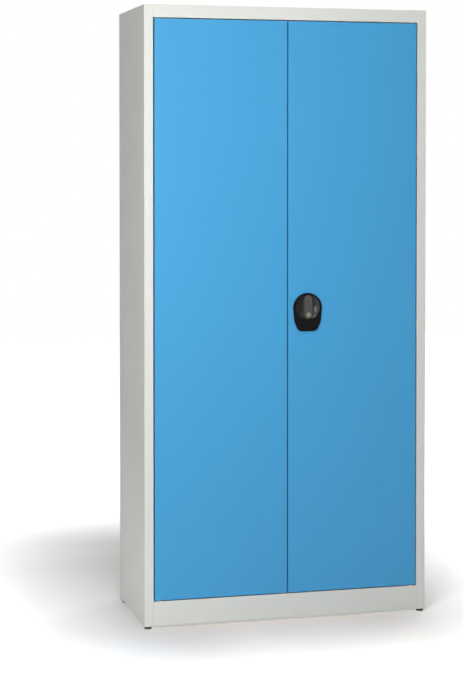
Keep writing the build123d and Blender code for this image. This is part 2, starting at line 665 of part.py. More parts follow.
# Rods: a flat yoke with a slot for its crank pin, then a round rod to the end of the door
slot_height = CRANK_PIN_DIA + 2 * YOKE_PLAY
slot_length = CRANK_RADIUS - CRANK_REACH + slot_height
rods = {"upper": (-1, 1, DOOR_TOP), "lower": (1, -1, DOOR_LOW)}
for end, (hand, up, tip_z) in rods.items():
    rod_x = HANDLE_X + hand * ROD_OFFSET
    pin_z = HANDLE_Z - up * CRANK_REACH
    neck_end = HANDLE_Z + up * YOKE_REACH
    with BuildPart() as rod:
        with BuildSketch(front_at(YOKE_FRONT)):
            with Locations((rod_x, pin_z)):
                Rectangle(slot_length + 2 * YOKE_WALL, slot_height + 2 * YOKE_WALL)
            with Locations((rod_x, (pin_z + neck_end) / 2)):
                Rectangle(YOKE_NECK, abs(neck_end - pin_z))
            with Locations((rod_x, pin_z)):
                SlotOverall(slot_length, slot_height, mode=Mode.SUBTRACT)
        extrude(amount=-YOKE_THICK)
        with BuildSketch(level(neck_end - up * YOKE_NECK / 2)):
            with Locations((rod_x, ROD_Y)):
                Circle(ROD_DIA / 2)
        extrude(amount=tip_z - neck_end + up * YOKE_NECK / 2)
    rod.part.label = f"rod_{end}"
    export_step(rod.part, f"parts/rod_{end}.step")

    guide_z = HANDLE_Z + up * GUIDE_FROM_HANDLE
    skin_y = FRONT + SHEET + GUIDE_SHEET / 2
    leg_z = guide_z + up * GUIDE_FOOT
    angle = [
        (skin_y, guide_z),
        (skin_y, leg_z),
        (DOOR_BACK - SHEET, leg_z),
    ]
    with BuildPart() as guide:
        extrude(pressed(side_at(rod_x), angle, GUIDE_SHEET), amount=GUIDE_WIDTH / 2, both=True)
        with BuildSketch(level(leg_z)):
            with Locations((rod_x, ROD_Y)):
                Circle(ROD_DIA / 2 + CLEAR)
        extrude(amount=GUIDE_SHEET, both=True, mode=Mode.SUBTRACT)
    guide.part.label = f"rod_guide_{end}"
    export_step(guide.part, f"parts/rod_guide_{end}.step")

# Lock bridge: a strip over the crank plate, between the rods, that clamps the bowl to the door
bridge_plane = Plane(
    origin=(HANDLE_X, 0, HANDLE_Z),
    x_dir=(0, 1, 0),
    z_dir=(math.sin(math.radians(BOSS_ANGLE)), 0, -math.cos(math.radians(BOSS_ANGLE))),
)
web_y = (BRIDGE_FRONT + BRIDGE_BACK) / 2
foot_y = FRONT + SHEET + BRIDGE_SHEET / 2
leg = BOWL_RADIUS + BRIDGE_SHEET + CLEAR
bridge = [
    (foot_y, leg + BRIDGE_FOOT),
    (foot_y, leg),
    (web_y, leg),
    (web_y, -leg),
    (foot_y, -leg),
    (foot_y, -leg - BRIDGE_FOOT),
]
with BuildPart() as lock_bridge:
    extrude(pressed(bridge_plane, bridge, BRIDGE_SHEET), amount=BRIDGE_WIDTH / 2, both=True)
    with BuildSketch(front_at(BRIDGE_BACK)):
        with Locations((HANDLE_X, HANDLE_Z)):
            Circle(SPINDLE_HALF_DIAGONAL + CLEAR)
        with Locations(*BOSSES):
            Circle(SCREW_DIA / 2 + CLEAR)
    extrude(amount=BRIDGE_SHEET, mode=Mode.SUBTRACT)
lock_bridge.part.label = "lock_bridge"
export_step(lock_bridge.part, "parts/lock_bridge.step")

with BuildPart() as bridge_screws:
    with BuildSketch(front_at(BRIDGE_BACK)):
        with Locations(*BOSSES):
            RegularPolygon(SCREW_ACROSS / 2, 6, major_radius=False)
    extrude(amount=-SCREW_HEAD)
    with BuildSketch(front_at(BRIDGE_BACK)):
        with Locations(*BOSSES):
            Circle(SCREW_DIA / 2 - CLEAR / 4)
    extrude(amount=SCREW_LENGTH)
bridge_screws.part.label = "bridge_screws"
export_step(bridge_screws.part, "parts/bridge_screws.step")

# Tongue: a joggled arm that hangs from the spindle and turns behind the left door
tongue_mid = TONGUE_FRONT + TONGUE_SHEET / 2
arm = [
    (tongue_mid, HANDLE_Z + TONGUE_HUB),
    (tongue_mid, HANDLE_Z - TONGUE_JOGGLE_FROM),
    (tongue_mid - TONGUE_JOGGLE, HANDLE_Z - TONGUE_JOGGLE_TO),
    (tongue_mid - TONGUE_JOGGLE, HANDLE_Z - TONGUE_LENGTH),
]
with BuildPart() as tongue:
    extrude(pressed(side_at(HANDLE_X), arm, TONGUE_SHEET), amount=TONGUE_HUB, both=True)
    with BuildSketch(front_at(TONGUE_BACK)):
        with BuildLine():
            CenterArc((HANDLE_X, HANDLE_Z), TONGUE_HUB, 0, 360)
            CenterArc((HANDLE_X, HANDLE_Z - TONGUE_LENGTH + TONGUE_WIDTH / 2), TONGUE_WIDTH / 2, 0, 360)
        make_hull()
        with Locations((HANDLE_X, HANDLE_Z)):
            Rectangle(SPINDLE + CLEAR, SPINDLE + CLEAR, mode=Mode.SUBTRACT)
    extrude(amount=TONGUE_SHEET + TONGUE_JOGGLE, mode=Mode.INTERSECT)
tongue.part.label = "tongue"
export_step(tongue.part, "parts/tongue.step")

# Square spacer in front of the tongue and hexagon screw behind it
with BuildPart() as spindle_fixing:
    with BuildSketch(front_at(TONGUE_FRONT)):
        with Locations((HANDLE_X, HANDLE_Z)):
            Rectangle(SPACER, SPACER)
            Rectangle(SPINDLE + CLEAR, SPINDLE + CLEAR, mode=Mode.SUBTRACT)
    extrude(amount=TONGUE_FRONT - BRIDGE_BACK - CLEAR)
    with BuildSketch(front_at(TONGUE_BACK)):
        with Locations((HANDLE_X, HANDLE_Z)):
            RegularPolygon(HEX_ACROSS / 2, 6, major_radius=False)
    extrude(amount=-HEX_HEAD)
spindle_fixing.part.label = "spindle_fixing"
export_step(spindle_fixing.part, "parts/spindle_fixing.step")
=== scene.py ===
import json
import math
import random

import bmesh
import bpy
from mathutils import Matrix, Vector

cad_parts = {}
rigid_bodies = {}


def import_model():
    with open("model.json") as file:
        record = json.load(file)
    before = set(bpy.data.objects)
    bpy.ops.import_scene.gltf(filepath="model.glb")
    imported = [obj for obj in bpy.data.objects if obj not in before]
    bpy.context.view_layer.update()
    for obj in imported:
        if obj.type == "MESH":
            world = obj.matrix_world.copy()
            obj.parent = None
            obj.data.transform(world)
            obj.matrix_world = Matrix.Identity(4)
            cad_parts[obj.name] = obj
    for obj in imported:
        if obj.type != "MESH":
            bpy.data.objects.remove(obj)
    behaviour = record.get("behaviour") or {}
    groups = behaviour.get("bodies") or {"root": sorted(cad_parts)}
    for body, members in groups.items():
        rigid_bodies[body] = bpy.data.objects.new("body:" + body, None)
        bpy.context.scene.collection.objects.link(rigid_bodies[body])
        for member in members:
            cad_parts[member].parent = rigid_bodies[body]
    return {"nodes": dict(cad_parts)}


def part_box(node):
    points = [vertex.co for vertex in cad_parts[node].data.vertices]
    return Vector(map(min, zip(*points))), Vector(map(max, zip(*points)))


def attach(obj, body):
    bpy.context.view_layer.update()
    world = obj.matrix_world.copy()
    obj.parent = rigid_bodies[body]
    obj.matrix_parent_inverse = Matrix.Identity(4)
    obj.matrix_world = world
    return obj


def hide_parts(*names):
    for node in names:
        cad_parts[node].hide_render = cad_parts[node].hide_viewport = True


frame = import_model()

# Tall tool cabinet with two flush doors and a swivel handle: looks, camera and light.
# Metres, +X right, +Y to the back, +Z up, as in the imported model.

MM = 0.001
NODES = frame["nodes"]

# Whatever Blender starts with isn't part of the scene.
for stray in list(bpy.data.objects):
    if stray.name in {"Cube", "Light", "Camera"}:
        bpy.data.objects.remove(stray)
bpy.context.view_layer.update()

# Places read from the frame
SHIELD_LOW, SHIELD_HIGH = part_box("escutcheon")
LOCK_LOW, LOCK_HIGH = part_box("lock_cylinder")
SPINDLE_LOW, SPINDLE_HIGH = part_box("spindle")
DOOR_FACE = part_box("door_right")[0].y
FIN_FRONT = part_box("knob")[0].y
AXIS_X = (SPINDLE_LOW.x + SPINDLE_HIGH.x) / 2
AXIS_Z = (SPINDLE_LOW.z + SPINDLE_HIGH.z) / 2

# Camera of the photograph
CAMERA_PLACE = Vector((-1.599, -5.609, 1.453))
CAMERA_PITCH = math.radians(-1.464)
CAMERA_YAW = math.radians(-14.633)
FOCAL_PIXELS = 1780.4
FRAME_PIXELS = 673.0  # long side of the photograph
HORIZON_PIXELS = 210.0  # row of the optical axis
SENSOR = 36.0
CAMERA_FAR = 100.0

# Housing of the handle: rim, dish and the bowl behind it
RIM_ROUND = 2.6 * MM
RIM_STEPS = 8
RIM_FOOT_IN = 0.2 * MM  # small chamfer where the rim meets the door
RIM_FOOT_UP = 0.3 * MM
LAND_SHARES = (0.35, 0.7, 0.92)  # rings between the rim and the dish
DISH_RADIUS = 39.0 * MM
DISH_DEPTH = 15.0 * MM
DISH_SPHERE = (DISH_RADIUS**2 + DISH_DEPTH**2) / (2 * DISH_DEPTH)
DISH_STEPS = 24
DISH_MARGIN = 0.05 * MM  # depth at which the polished face begins
LIP_ROUND = 0.9 * MM  # rounded lip of the dish, and how far it turns, in and down
LIP_TURN = math.pi / 3
LIP_STEPS = 4
LIP_IN = 1.15
LIP_DOWN = 0.55
BOWL_RADIUS = 34.0 * MM
BOWL_WALL = 3.0 * MM
BOWL_BACK = SHIELD_LOW.y + DISH_DEPTH + BOWL_WALL
BOWL_CHAMFER = 2.0 * MM
BOWL_CORNER = 0.6 * MM
NECK_HOLE = 8.3 * MM

# Outline of the housing: radii, offsets and heights of its arcs about the handle axis
SHIELD_HEAD = 47.6 * MM
SHIELD_HEAD_DOWN = 2.9 * MM
SHIELD_HIP = 24.0 * MM
SHIELD_HIP_OUT = 20.2 * MM
SHIELD_HIP_DOWN = 39.0 * MM
SHIELD_CORNER = 17.0 * MM
SHIELD_CORNER_OUT = 18.9 * MM
SHIELD_CORNER_DOWN = 60.2 * MM
SHIELD_BELLY = 24.0 * MM
SHIELD_BELOW = 77.5 * MM

# Fin of the handle, with its neck and the bores in it
FIN_TOP_RADIUS = 12.8 * MM
FIN_TOP_UP = 25.2 * MM
FIN_LOW_RADIUS = 14.0 * MM
LOCK_BELOW = 24.0 * MM
FIN_CROWN_DROP = 5.0 * MM
FIN_ROUND = 2.2 * MM
FIN_CLEAR = 1.2 * MM
FIN_FACE_STEPS = 10
FIN_ROUND_STEPS = 7
FIN_WALL_SHARES = (0.25, 0.5, 0.75, 1.0)
FIN_BACK_SHARES = (0.75, 0.5, 0.25)
NECK_RADIUS = 8.0 * MM
NECK_LENGTH = 15.0 * MM
NECK_CHAMFER = 0.4 * MM
SPINDLE_PLAY = 0.3 * MM
LOCK_PLAY = 0.1 * MM
CUT_OVER = 1.0 * MM  # a cutting solid reaches this far past the surface

# Screw pads behind the bowl
PAD_WIDTH = 7.0 * MM
PAD_RADIUS = 29.0 * MM
PAD_ANGLE = math.radians(67.0)
PAD_HOLE = 2.0 * MM
PAD_HOLE_DEPTH = 8.0 * MM
PAD_CHAMFER_IN = 0.5 * MM
PAD_CHAMFER_UP = 0.4 * MM

# Fineness of the modelled meshes
DIVISIONS = 144  # points round the handle
HULL_STEPS = 720
SHARP_ANGLE = math.radians(32)

# Floor. A glow seen by the camera turns it to white away from the shaded ground, an upright box
# given by its middle and half size; the glow held back near it is a painted shade on top of the
# real shadow. REACH is the distance over which an effect comes or goes.
FLOOR_SIZE = 9.0
FLOOR_COLOUR = (0.80, 0.80, 0.80)
FLOOR_ROUGHNESS = 0.9
FLOOR_SHINE = 0.1
PAINTED_SHADE_MIDDLE = (-0.010, 0.440, 0.0)
PAINTED_SHADE_HALF = (0.272, 0.539, 1.0)
LIFT_REACH = 1.07
LIFT_FAR = 0.95
MIRROR_NEAR = 0.70  # painted shade: glow level of the ground near the cabinet in reflections
UNDER_MIDDLE = (0.0, 0.0, 0.0)  # painted light: a glow that lifts the shade on the ground right under the cabinet
UNDER_HALF = (0.450, 0.176, 1.0)
UNDER_REACH = 0.025
UNDER_PAINTED_LIGHT = 0.40
PAINTED_SHADOW_MIDDLE = (-0.589, 0.097, 0.0)  # painted shadow: ground painted darker where the shade is deepest
PAINTED_SHADOW_HALF = (0.105, 0.584, 1.0)
PAINTED_SHADOW_REACH = 0.358
PAINTED_SHADOW_SHARE = 0.167
DOORWAY_MIDDLE = (0.02, -0.45, 0.0)  # ground that the doors throw blue light on
DOORWAY_HALF = (0.30, 0.20, 1.0)
DOORWAY_REACH = 0.28
DOORWAY_PAINTED_WARMTH = (0.80, 0.728, 0.668)  # painted warm tint that the camera sees there, against that blue light

# Light
WORLD_LIGHT = 0.12
LOW_FILL_SPREAD = math.radians(75)

# Small pieces
UPRIGHT_SHEET = 1.2 * MM
UPRIGHT_FOOT = 9.0 * MM
DOOR_SHEET = 1.0 * MM
STIFFENER_FLANGE = 14.0 * MM
# (radius, rise) in millimetres
MARK_PROFILE = ((2.9, -0.2), (2.9, 0.0), (2.5, 0.13), (2.0, 0.13), (1.5, 0.03), (0.4, 0.03))
MARK_SIDES = 16
MARK_PITCH = 140.0 * MM
MARK_END = 45.0 * MM
MARK_DRIFT = 4.0 * MM  # unevenness along and across the row
MARK_DRIFT_ACROSS = 0.8 * MM
SOFT_WELD = 0.01 * MM
SOFT_ANGLE = math.radians(40)
SOFT_EDGES = {  # bevel widths of the small turned and stamped pieces
    "feet": 0.8 * MM,
    "door_buffers": 0.8 * MM,
    "lock_cylinder": 0.3 * MM,
    "key_plug": 0.15 * MM,
    "bridge_screws": 0.3 * MM,
    "spindle": 0.4 * MM,
    "crank_plate": 0.3 * MM,
    "tongue": 0.3 * MM,
    "lock_bridge": 0.25 * MM,
}


def link(obj):
    """Puts a new object in the scene."""
    bpy.context.scene.collection.objects.link(obj)
    return obj


# ---------------------------------------------------------------- materials

NOISE_LOW = 0.3  # nearly all of a noise value lies between these
NOISE_HIGH = 0.7
EDGE_SAMPLES = 6
EDGE_FROM = 0.995  # cosine between rounded and true normal where an edge begins and is full
EDGE_FULL = 0.80


class Shading:
    """A new node material with its Principled shader and a few shorthands."""

    def __init__(self, name, colour, roughness, metallic=0.0):
        self.material = bpy.data.materials.new(name)
        self.material.use_nodes = True
        self.nodes = self.material.node_tree.nodes
        self.links = self.material.node_tree.links
        self.shader = self.nodes["Principled BSDF"]
        self.shader.inputs["Base Color"].default_value = (*colour, 1.0)
        self.shader.inputs["Roughness"].default_value = roughness
        self.shader.inputs["Metallic"].default_value = metallic
        self.place = self.nodes.new("ShaderNodeTexCoord").outputs["Object"]

    def noise(self, scale, detail=2.0, stretch=(1.0, 1.0, 1.0)):
        """Noise value; scale is in cells per metre."""
        mapping = self.nodes.new("ShaderNodeMapping")
        mapping.inputs["Scale"].default_value = stretch
        texture = self.nodes.new("ShaderNodeTexNoise")
        texture.inputs["Scale"].default_value = scale
        texture.inputs["Detail"].default_value = detail
        self.links.new(self.place, mapping.inputs["Vector"])
        self.links.new(mapping.outputs["Vector"], texture.inputs["Vector"])
        return texture.outputs["Fac"]

    def cells(self, scale):
        """Random value per cell; scale is in cells per metre."""
        texture = self.nodes.new("ShaderNodeTexVoronoi")
        texture.inputs["Scale"].default_value = scale
        self.links.new(self.place, texture.inputs["Vector"])
        return texture.outputs["Color"]

    def spread(self, value, low, high):
        """Noise value mapped to low..high."""
        node = self.nodes.new("ShaderNodeMapRange")
        node.inputs["From Min"].default_value = NOISE_LOW
        node.inputs["From Max"].default_value = NOISE_HIGH
        node.inputs["To Min"].default_value = low
        node.inputs["To Max"].default_value = high
        self.links.new(value, node.inputs["Value"])
        return node.outputs["Result"]

    def tint(self, factor, first, second):
        """Mix of two colours."""
        node = self.nodes.new("ShaderNodeMix")
        node.data_type = "RGBA"
        for socket, value in (("A", first), ("B", second)):
            inputs = [i for i in node.inputs if i.name == socket and i.type == "RGBA"]
            if isinstance(value, bpy.types.NodeSocket):
                self.links.new(value, inputs[0])
            else:
                inputs[0].default_value = (*value, 1.0)
        self.links.new(factor, node.inputs["Factor"])
        return next(o for o in node.outputs if o.type == "RGBA")

    def bump(self, height, strength, distance, under=None):
        """Normal from a height, on top of another normal."""
        node = self.nodes.new("ShaderNodeBump")
        node.inputs["Strength"].default_value = strength
        node.inputs["Distance"].default_value = distance
        self.links.new(height, node.inputs["Height"])
        if under is not None:
            self.links.new(under, node.inputs["Normal"])
        return node.outputs["Normal"]

    def edges(self, radius):
        """1 on an edge or crease, 0 away from it."""
        bevel = self.nodes.new("ShaderNodeBevel")
        bevel.samples = EDGE_SAMPLES
        bevel.inputs["Radius"].default_value = radius
        geometry = self.nodes.new("ShaderNodeNewGeometry")
        dot = self.nodes.new("ShaderNodeVectorMath")
        dot.operation = "DOT_PRODUCT"
        self.links.new(bevel.outputs["Normal"], dot.inputs[0])
        self.links.new(geometry.outputs["Normal"], dot.inputs[1])
        node = self.nodes.new("ShaderNodeMapRange")
        node.inputs["From Min"].default_value = EDGE_FROM
        node.inputs["From Max"].default_value = EDGE_FULL
        self.links.new(dot.outputs["Value"], node.inputs["Value"])
        return node.outputs["Result"]

    def use(self, colour=None, roughness=None, normal=None):
        """Links values to the shader and gives the material."""
        for socket, value in (("Base Color", colour), ("Roughness", roughness), ("Normal", normal)):
            if value is not None:
                self.links.new(value, self.shader.inputs[socket])
        return self.material


def shade(colour, factor):
    """A colour made lighter or darker."""
    return tuple(min(1.0, c * factor) for c in colour)


def powder_coat(name, colour, roughness, edge_highlight_and_thin_paint):
    """Powder coat: orange peel, soft panel waves, faint mottling, and thin paint on the edges,
    which are also painted lighter as a painted highlight.
    """
    s = Shading(name, colour, roughness)
    s.shader.inputs["Specular IOR Level"].default_value = 0.30
    mottle = s.tint(s.noise(2.2, 3.0), shade(colour, 0.975), shade(colour, 1.02))
    speck = s.tint(s.spread(s.noise(900.0, 1.0), 0.0, 0.5), mottle, shade(colour, 0.93))
    # painted highlight: edges and creases are painted lighter, as if they caught the light
    tinted = s.tint(s.edges(0.9 * MM), speck, edge_highlight_and_thin_paint)
    gloss = s.spread(s.noise(14.0, 4.0), roughness - 0.04, roughness + 0.05)
    waves = s.bump(s.noise(5.0, 1.0), strength=0.12, distance=2.0 * MM)
    peel = s.bump(s.noise(420.0, 2.0), strength=0.10, distance=0.12 * MM, under=waves)
    return s.use(tinted, gloss, peel)


def moulded_plastic(name, colour, roughness, grain, shine):
    """Moulded plastic with a fine spark-eroded grain, lighter in colour on its edges."""
    s = Shading(name, colour, roughness)
    s.shader.inputs["Specular IOR Level"].default_value = shine
    mottle = s.tint(s.noise(60.0, 3.0), shade(colour, 0.85), shade(colour, 1.2))
    # the edges are made lighter in colour
    tinted = s.tint(s.edges(0.5 * MM), mottle, shade(colour, 1.9))
    gloss = s.spread(s.noise(180.0, 3.0), roughness - 0.06, roughness + 0.08)
    rough = s.bump(s.noise(2600.0, 2.0), strength=grain, distance=0.05 * MM)
    return s.use(tinted, gloss, rough)


def plated_metal(name, colour, roughness, stretch, spangle):
    """Plated steel with drawing lines and patches of slightly different brightness."""
    s = Shading(name, colour, roughness, metallic=1.0)
    patch = s.tint(s.cells(spangle), shade(colour, 0.88), shade(colour, 1.05))
    dull = s.tint(s.spread(s.noise(30.0, 4.0), 0.0, 0.6), patch, shade(colour, 0.8))
    gloss = s.spread(s.noise(120.0, 3.0), roughness - 0.06, roughness + 0.1)
    lines = s.bump(s.noise(1400.0, 2.0, stretch), strength=0.12, distance=0.03 * MM)
    return s.use(dull, gloss, lines)


def soft_polymer(name, colour, roughness, grain):
    """Nylon or rubber: matt, with a slight cloudiness."""
    s = Shading(name, colour, roughness)
    mottle = s.tint(s.noise(90.0, 4.0), shade(colour, 0.85), shade(colour, 1.12))
    gloss = s.spread(s.noise(70.0, 2.0), roughness - 0.05, roughness + 0.08)
    rough = s.bump(s.noise(1800.0, 2.0), strength=grain, distance=0.06 * MM)
    return s.use(mottle, gloss, rough)


PAINT_LIGHT_GREY = (0.647, 0.653, 0.616)
PAINT_BLUE = (0.055, 0.314, 0.592)
FINISHES = {
    # The last colour of each coat is the lighter colour of its edges, a painted highlight.
    "body_paint": powder_coat("light_grey_paint", PAINT_LIGHT_GREY, 0.40, (0.70, 0.71, 0.68)),
    "door_paint": powder_coat("sky_blue_paint", PAINT_BLUE, 0.38, (0.11, 0.40, 0.68)),
    "black_plastic": moulded_plastic(
        "black_plastic", (0.0045, 0.0047, 0.0052), 0.42, grain=0.25, shine=0.07
    ),
    "dark_plastic": moulded_plastic(
        "charcoal_plastic", (0.062, 0.063, 0.057), 0.46, grain=0.30, shine=0.14
    ),
    "polished_plastic": moulded_plastic(
        "polished_plastic", (0.031, 0.030, 0.031), 0.22, grain=0.05, shine=0.36
    ),
    "nickel": plated_metal(
        "nickel_plate", (0.30, 0.29, 0.23), 0.34, stretch=(1.0, 1.0, 1.0), spangle=900.0
    ),
    "zinc_steel": plated_metal(
        "zinc_plate", (0.60, 0.62, 0.64), 0.38, stretch=(1.0, 1.0, 0.06), spangle=260.0
    ),
    "nylon": soft_polymer("nylon_white", (0.70, 0.69, 0.64), 0.48, grain=0.15),
    "black_rubber": soft_polymer("black_rubber", (0.020, 0.020, 0.021), 0.68, grain=0.35),
}


def finish_nodes():
    """Gives every CAD node the procedural finish of its material slot."""
    for node in NODES.values():
        for material_slot in node.material_slots:
            material_slot.material = FINISHES[material_slot.material.name.split(".")[0]]


# ---------------------------------------------------------------- mesh helpers


def mesh_object(name, bm, slot, body):
    """Object of a bmesh that rides on a body, with the finish of a material slot."""
    bmesh.ops.recalc_face_normals(bm, faces=bm.faces)
    mesh = bpy.data.meshes.new(name)
    bm.to_mesh(mesh)
    bm.free()
    mesh.polygons.foreach_set("use_smooth", [True] * len(mesh.polygons))
    mesh.materials.append(FINISHES[slot])
    mesh.set_sharp_from_angle(angle=SHARP_ANGLE)
    obj = link(bpy.data.objects.new(name, mesh))
    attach(obj, body)
    return obj


def between(first, last, share):
    """Value a share of the way from the first to the last."""
    return first + (last - first) * share


def hull_radius(circles, angle):
    """Distance from the origin to the hull of circles (x, z, radius), along an angle."""
    ray = Vector((math.cos(angle), math.sin(angle)))
    reach = math.inf
    for step in range(HULL_STEPS):
        around = 2 * math.pi * step / HULL_STEPS
        normal = Vector((math.cos(around), math.sin(around)))
        support = max(x * normal.x + z * normal.y + r for x, z, r in circles)
        facing = ray.dot(normal)
        if facing > 1e-6:  # lines square to the ray never cross it
            reach = min(reach, support / facing)
    return reach


def ring_grid(bm, rings, closed):
    """Quads between rings of equal length; closed joins the last ring to the first."""
    loops = [[bm.verts.new(point) for point in ring] for ring in rings]
    pairs = list(zip(loops, loops[1:]))
    if closed:
        pairs.append((loops[-1], loops[0]))
    for inner, outer in pairs:
        count = len(inner)
        for i in range(count):
            j = (i + 1) % count
            bm.faces.new((inner[i], inner[j], outer[j], outer[i]))
    return loops


# ---------------------------------------------------------------- handle


def build_shield():
    """Egg-shaped escutcheon with a rounded rim, a spherical dish and the bowl behind it."""
    circles = [
        (0.0, -SHIELD_HEAD_DOWN, SHIELD_HEAD),
        (0.0, SHIELD_BELLY - SHIELD_BELOW, SHIELD_BELLY),
    ]
    for hand in (-1, 1):
        circles += [
            (hand * SHIELD_HIP_OUT, -SHIELD_HIP_DOWN, SHIELD_HIP),
            (hand * SHIELD_CORNER_OUT, -SHIELD_CORNER_DOWN, SHIELD_CORNER),
        ]
    angles = [2 * math.pi * i / DIVISIONS for i in range(DIVISIONS)]
    edge = [hull_radius(circles, a) for a in angles]
    front = SHIELD_LOW.y
    back = DOOR_FACE

    def ring(radii, y):
        return [
            (AXIS_X + r * math.cos(a), y, AXIS_Z + r * math.sin(a))
            for r, a in zip(radii, angles)
        ]

    def circle(radius, y):
        return ring([radius] * DIVISIONS, y)

    rings = [ring([r - RIM_FOOT_IN for r in edge], back), ring(edge, back - RIM_FOOT_UP)]
    for step in range(RIM_STEPS + 1):
        turn = math.pi / 2 * step / RIM_STEPS
        inset = RIM_ROUND * (1 - math.cos(turn))
        rings.append(ring([r - inset for r in edge], front + RIM_ROUND * (1 - math.sin(turn))))
    land = [r - RIM_ROUND for r in edge]
    dish_edge = DISH_RADIUS + LIP_ROUND
    for share in LAND_SHARES:
        rings.append(ring([r + (dish_edge - r) * share for r in land], front))
    for step in range(LIP_STEPS + 1):
        turn = LIP_TURN * step / LIP_STEPS
        radius = DISH_RADIUS + LIP_ROUND * (1 - math.sin(turn) * LIP_IN)
        rings.append(circle(radius, front + LIP_ROUND * LIP_DOWN * (1 - math.cos(turn))))
    for step in range(1, DISH_STEPS + 1):
        radius = DISH_RADIUS + (NECK_HOLE - DISH_RADIUS) * step / DISH_STEPS
        depth = DISH_DEPTH - DISH_SPHERE + math.sqrt(DISH_SPHERE**2 - radius**2)
        rings.append(circle(radius, front + depth))
    rings.append(circle(NECK_HOLE, BOWL_BACK))
    rings.append(circle(BOWL_RADIUS - BOWL_CHAMFER, BOWL_BACK))
    rings.append(circle(BOWL_RADIUS - BOWL_CORNER, BOWL_BACK - BOWL_CORNER))
    rings.append(circle(BOWL_RADIUS, BOWL_BACK - BOWL_CHAMFER))
    rings.append(circle(BOWL_RADIUS, back))
    bm = bmesh.new()
    ring_grid(bm, rings, closed=True)
    for face in bm.faces:
        middle = face.calc_center_median()
        off_axis = math.hypot(middle.x - AXIS_X, middle.z - AXIS_Z)
        if off_axis < DISH_RADIUS and front + DISH_MARGIN < middle.y < front + DISH_DEPTH:
            face.material_index = 1  # the polished plastic of the dish
    shield = mesh_object("handle_shield", bm, "black_plastic", "door_right")
    shield.data.materials.append(FINISHES["polished_plastic"])
    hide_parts("escutcheon")
    return shield


def build_fin():
    """Crowned fin that widens over the lock, its back curved like the dish, its rim rounded."""
    middle = (FIN_TOP_UP - LOCK_BELOW) / 2
    circles = [
        (0.0, FIN_TOP_UP - middle, FIN_TOP_RADIUS),
        (0.0, -LOCK_BELOW - middle, FIN_LOW_RADIUS),
    ]
    angles = [2 * math.pi * (i + 0.5) / DIVISIONS for i in range(DIVISIONS)]
    edge = [hull_radius(circles, a) for a in angles]
    tip = FIN_TOP_UP + FIN_TOP_RADIUS
    crown = (tip**2 + FIN_CROWN_DROP**2) / (2 * FIN_CROWN_DROP)
    dish_centre = SHIELD_LOW.y + DISH_DEPTH - DISH_SPHERE
    back_radius = math.sqrt(DISH_SPHERE**2 - FIN_LOW_RADIUS**2) - FIN_CLEAR

    def front_y(z):
        return FIN_FRONT + crown - math.sqrt(crown**2 - z**2)

    def back_y(z):
        return dish_centre + math.sqrt(back_radius**2 - z**2)

    def ring(radii, lift):
        """Points of a ring; lift(z) gives the depth at a height over the handle axis."""
        points = []
        for radius, a in zip(radii, angles):
            x = radius * math.cos(a)
            z = radius * math.sin(a) + middle
            points.append((AXIS_X + x, lift(z), AXIS_Z + z))
        return points

    rings = []
    for step in range(1, FIN_FACE_STEPS + 1):
        share = step / FIN_FACE_STEPS
        rings.append(ring([(r - FIN_ROUND) * share for r in edge], front_y))
    for step in range(1, FIN_ROUND_STEPS + 1):
        turn = math.pi / 2 * step / FIN_ROUND_STEPS
        out = FIN_ROUND * (math.sin(turn) - 1)
        drop = FIN_ROUND * (1 - math.cos(turn))
        rings.append(ring([r + out for r in edge], lambda z, drop=drop: front_y(z) + drop))
    for share in FIN_WALL_SHARES:
        rings.append(ring(edge, lambda z, s=share: between(front_y(z) + FIN_ROUND, back_y(z), s)))
    for share in FIN_BACK_SHARES:
        rings.append(ring([r * share for r in edge], back_y))
    bm = bmesh.new()
    loops = ring_grid(bm, rings, closed=False)
    for loop, lift in ((loops[0], front_y), (loops[-1], back_y)):
        centre = bm.verts.new((AXIS_X, lift(middle), AXIS_Z + middle))
        for i, vert in enumerate(loop):
            bm.faces.new((vert, loop[(i + 1) % len(loop)], centre))
    fin = mesh_object("handle_fin", bm, "dark_plastic", "handle")
    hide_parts("knob")
    return fin


def merge(obj, bm, operation):
    """Joins a bmesh solid to an object, or cuts it out; the sharp edges stay sharp."""
    bmesh.ops.recalc_face_normals(bm, faces=bm.faces)
    tool_mesh = bpy.data.meshes.new("tool")
    bm.to_mesh(tool_mesh)
    bm.free()
    tool = link(bpy.data.objects.new("tool", tool_mesh))
    change = obj.modifiers.new("merge", "BOOLEAN")
    change.operation = operation
    change.solver = "EXACT"
    change.object = tool
    bpy.context.view_layer.update()
    shown = obj.evaluated_get(bpy.context.evaluated_depsgraph_get())
    obj.data = bpy.data.meshes.new_from_object(shown)
    obj.modifiers.clear()
    bpy.data.objects.remove(tool)
    # The cut leaves spare points on its edges, which would make doubled slivers.
    cut = bmesh.new()
    cut.from_mesh(obj.data)
    spare = [vert for vert in cut.verts if len(vert.link_edges) == 2]
    bmesh.ops.dissolve_verts(cut, verts=spare)
    cut.to_mesh(obj.data)
    cut.free()
    obj.data.polygons.foreach_set("use_smooth", [True] * len(obj.data.polygons))
    obj.data.set_sharp_from_angle(angle=SHARP_ANGLE)


def turned(x, z, profile, sides=64, turn=0.0):
    """Closed solid turned about an axis along Y, from (radius, y) pairs; few sides make a prism."""
    bm = bmesh.new()
    rings = []
    for radius, y in profile:
        rings.append([
            (
                x + radius * math.cos(turn + 2 * math.pi * i / sides),
                y,
                z + radius * math.sin(turn + 2 * math.pi * i / sides),
            )
            for i in range(sides)
        ])
    loops = ring_grid(bm, rings, closed=False)
    bm.faces.new(loops[0])
    bm.faces.new(loops[-1])
    return bm


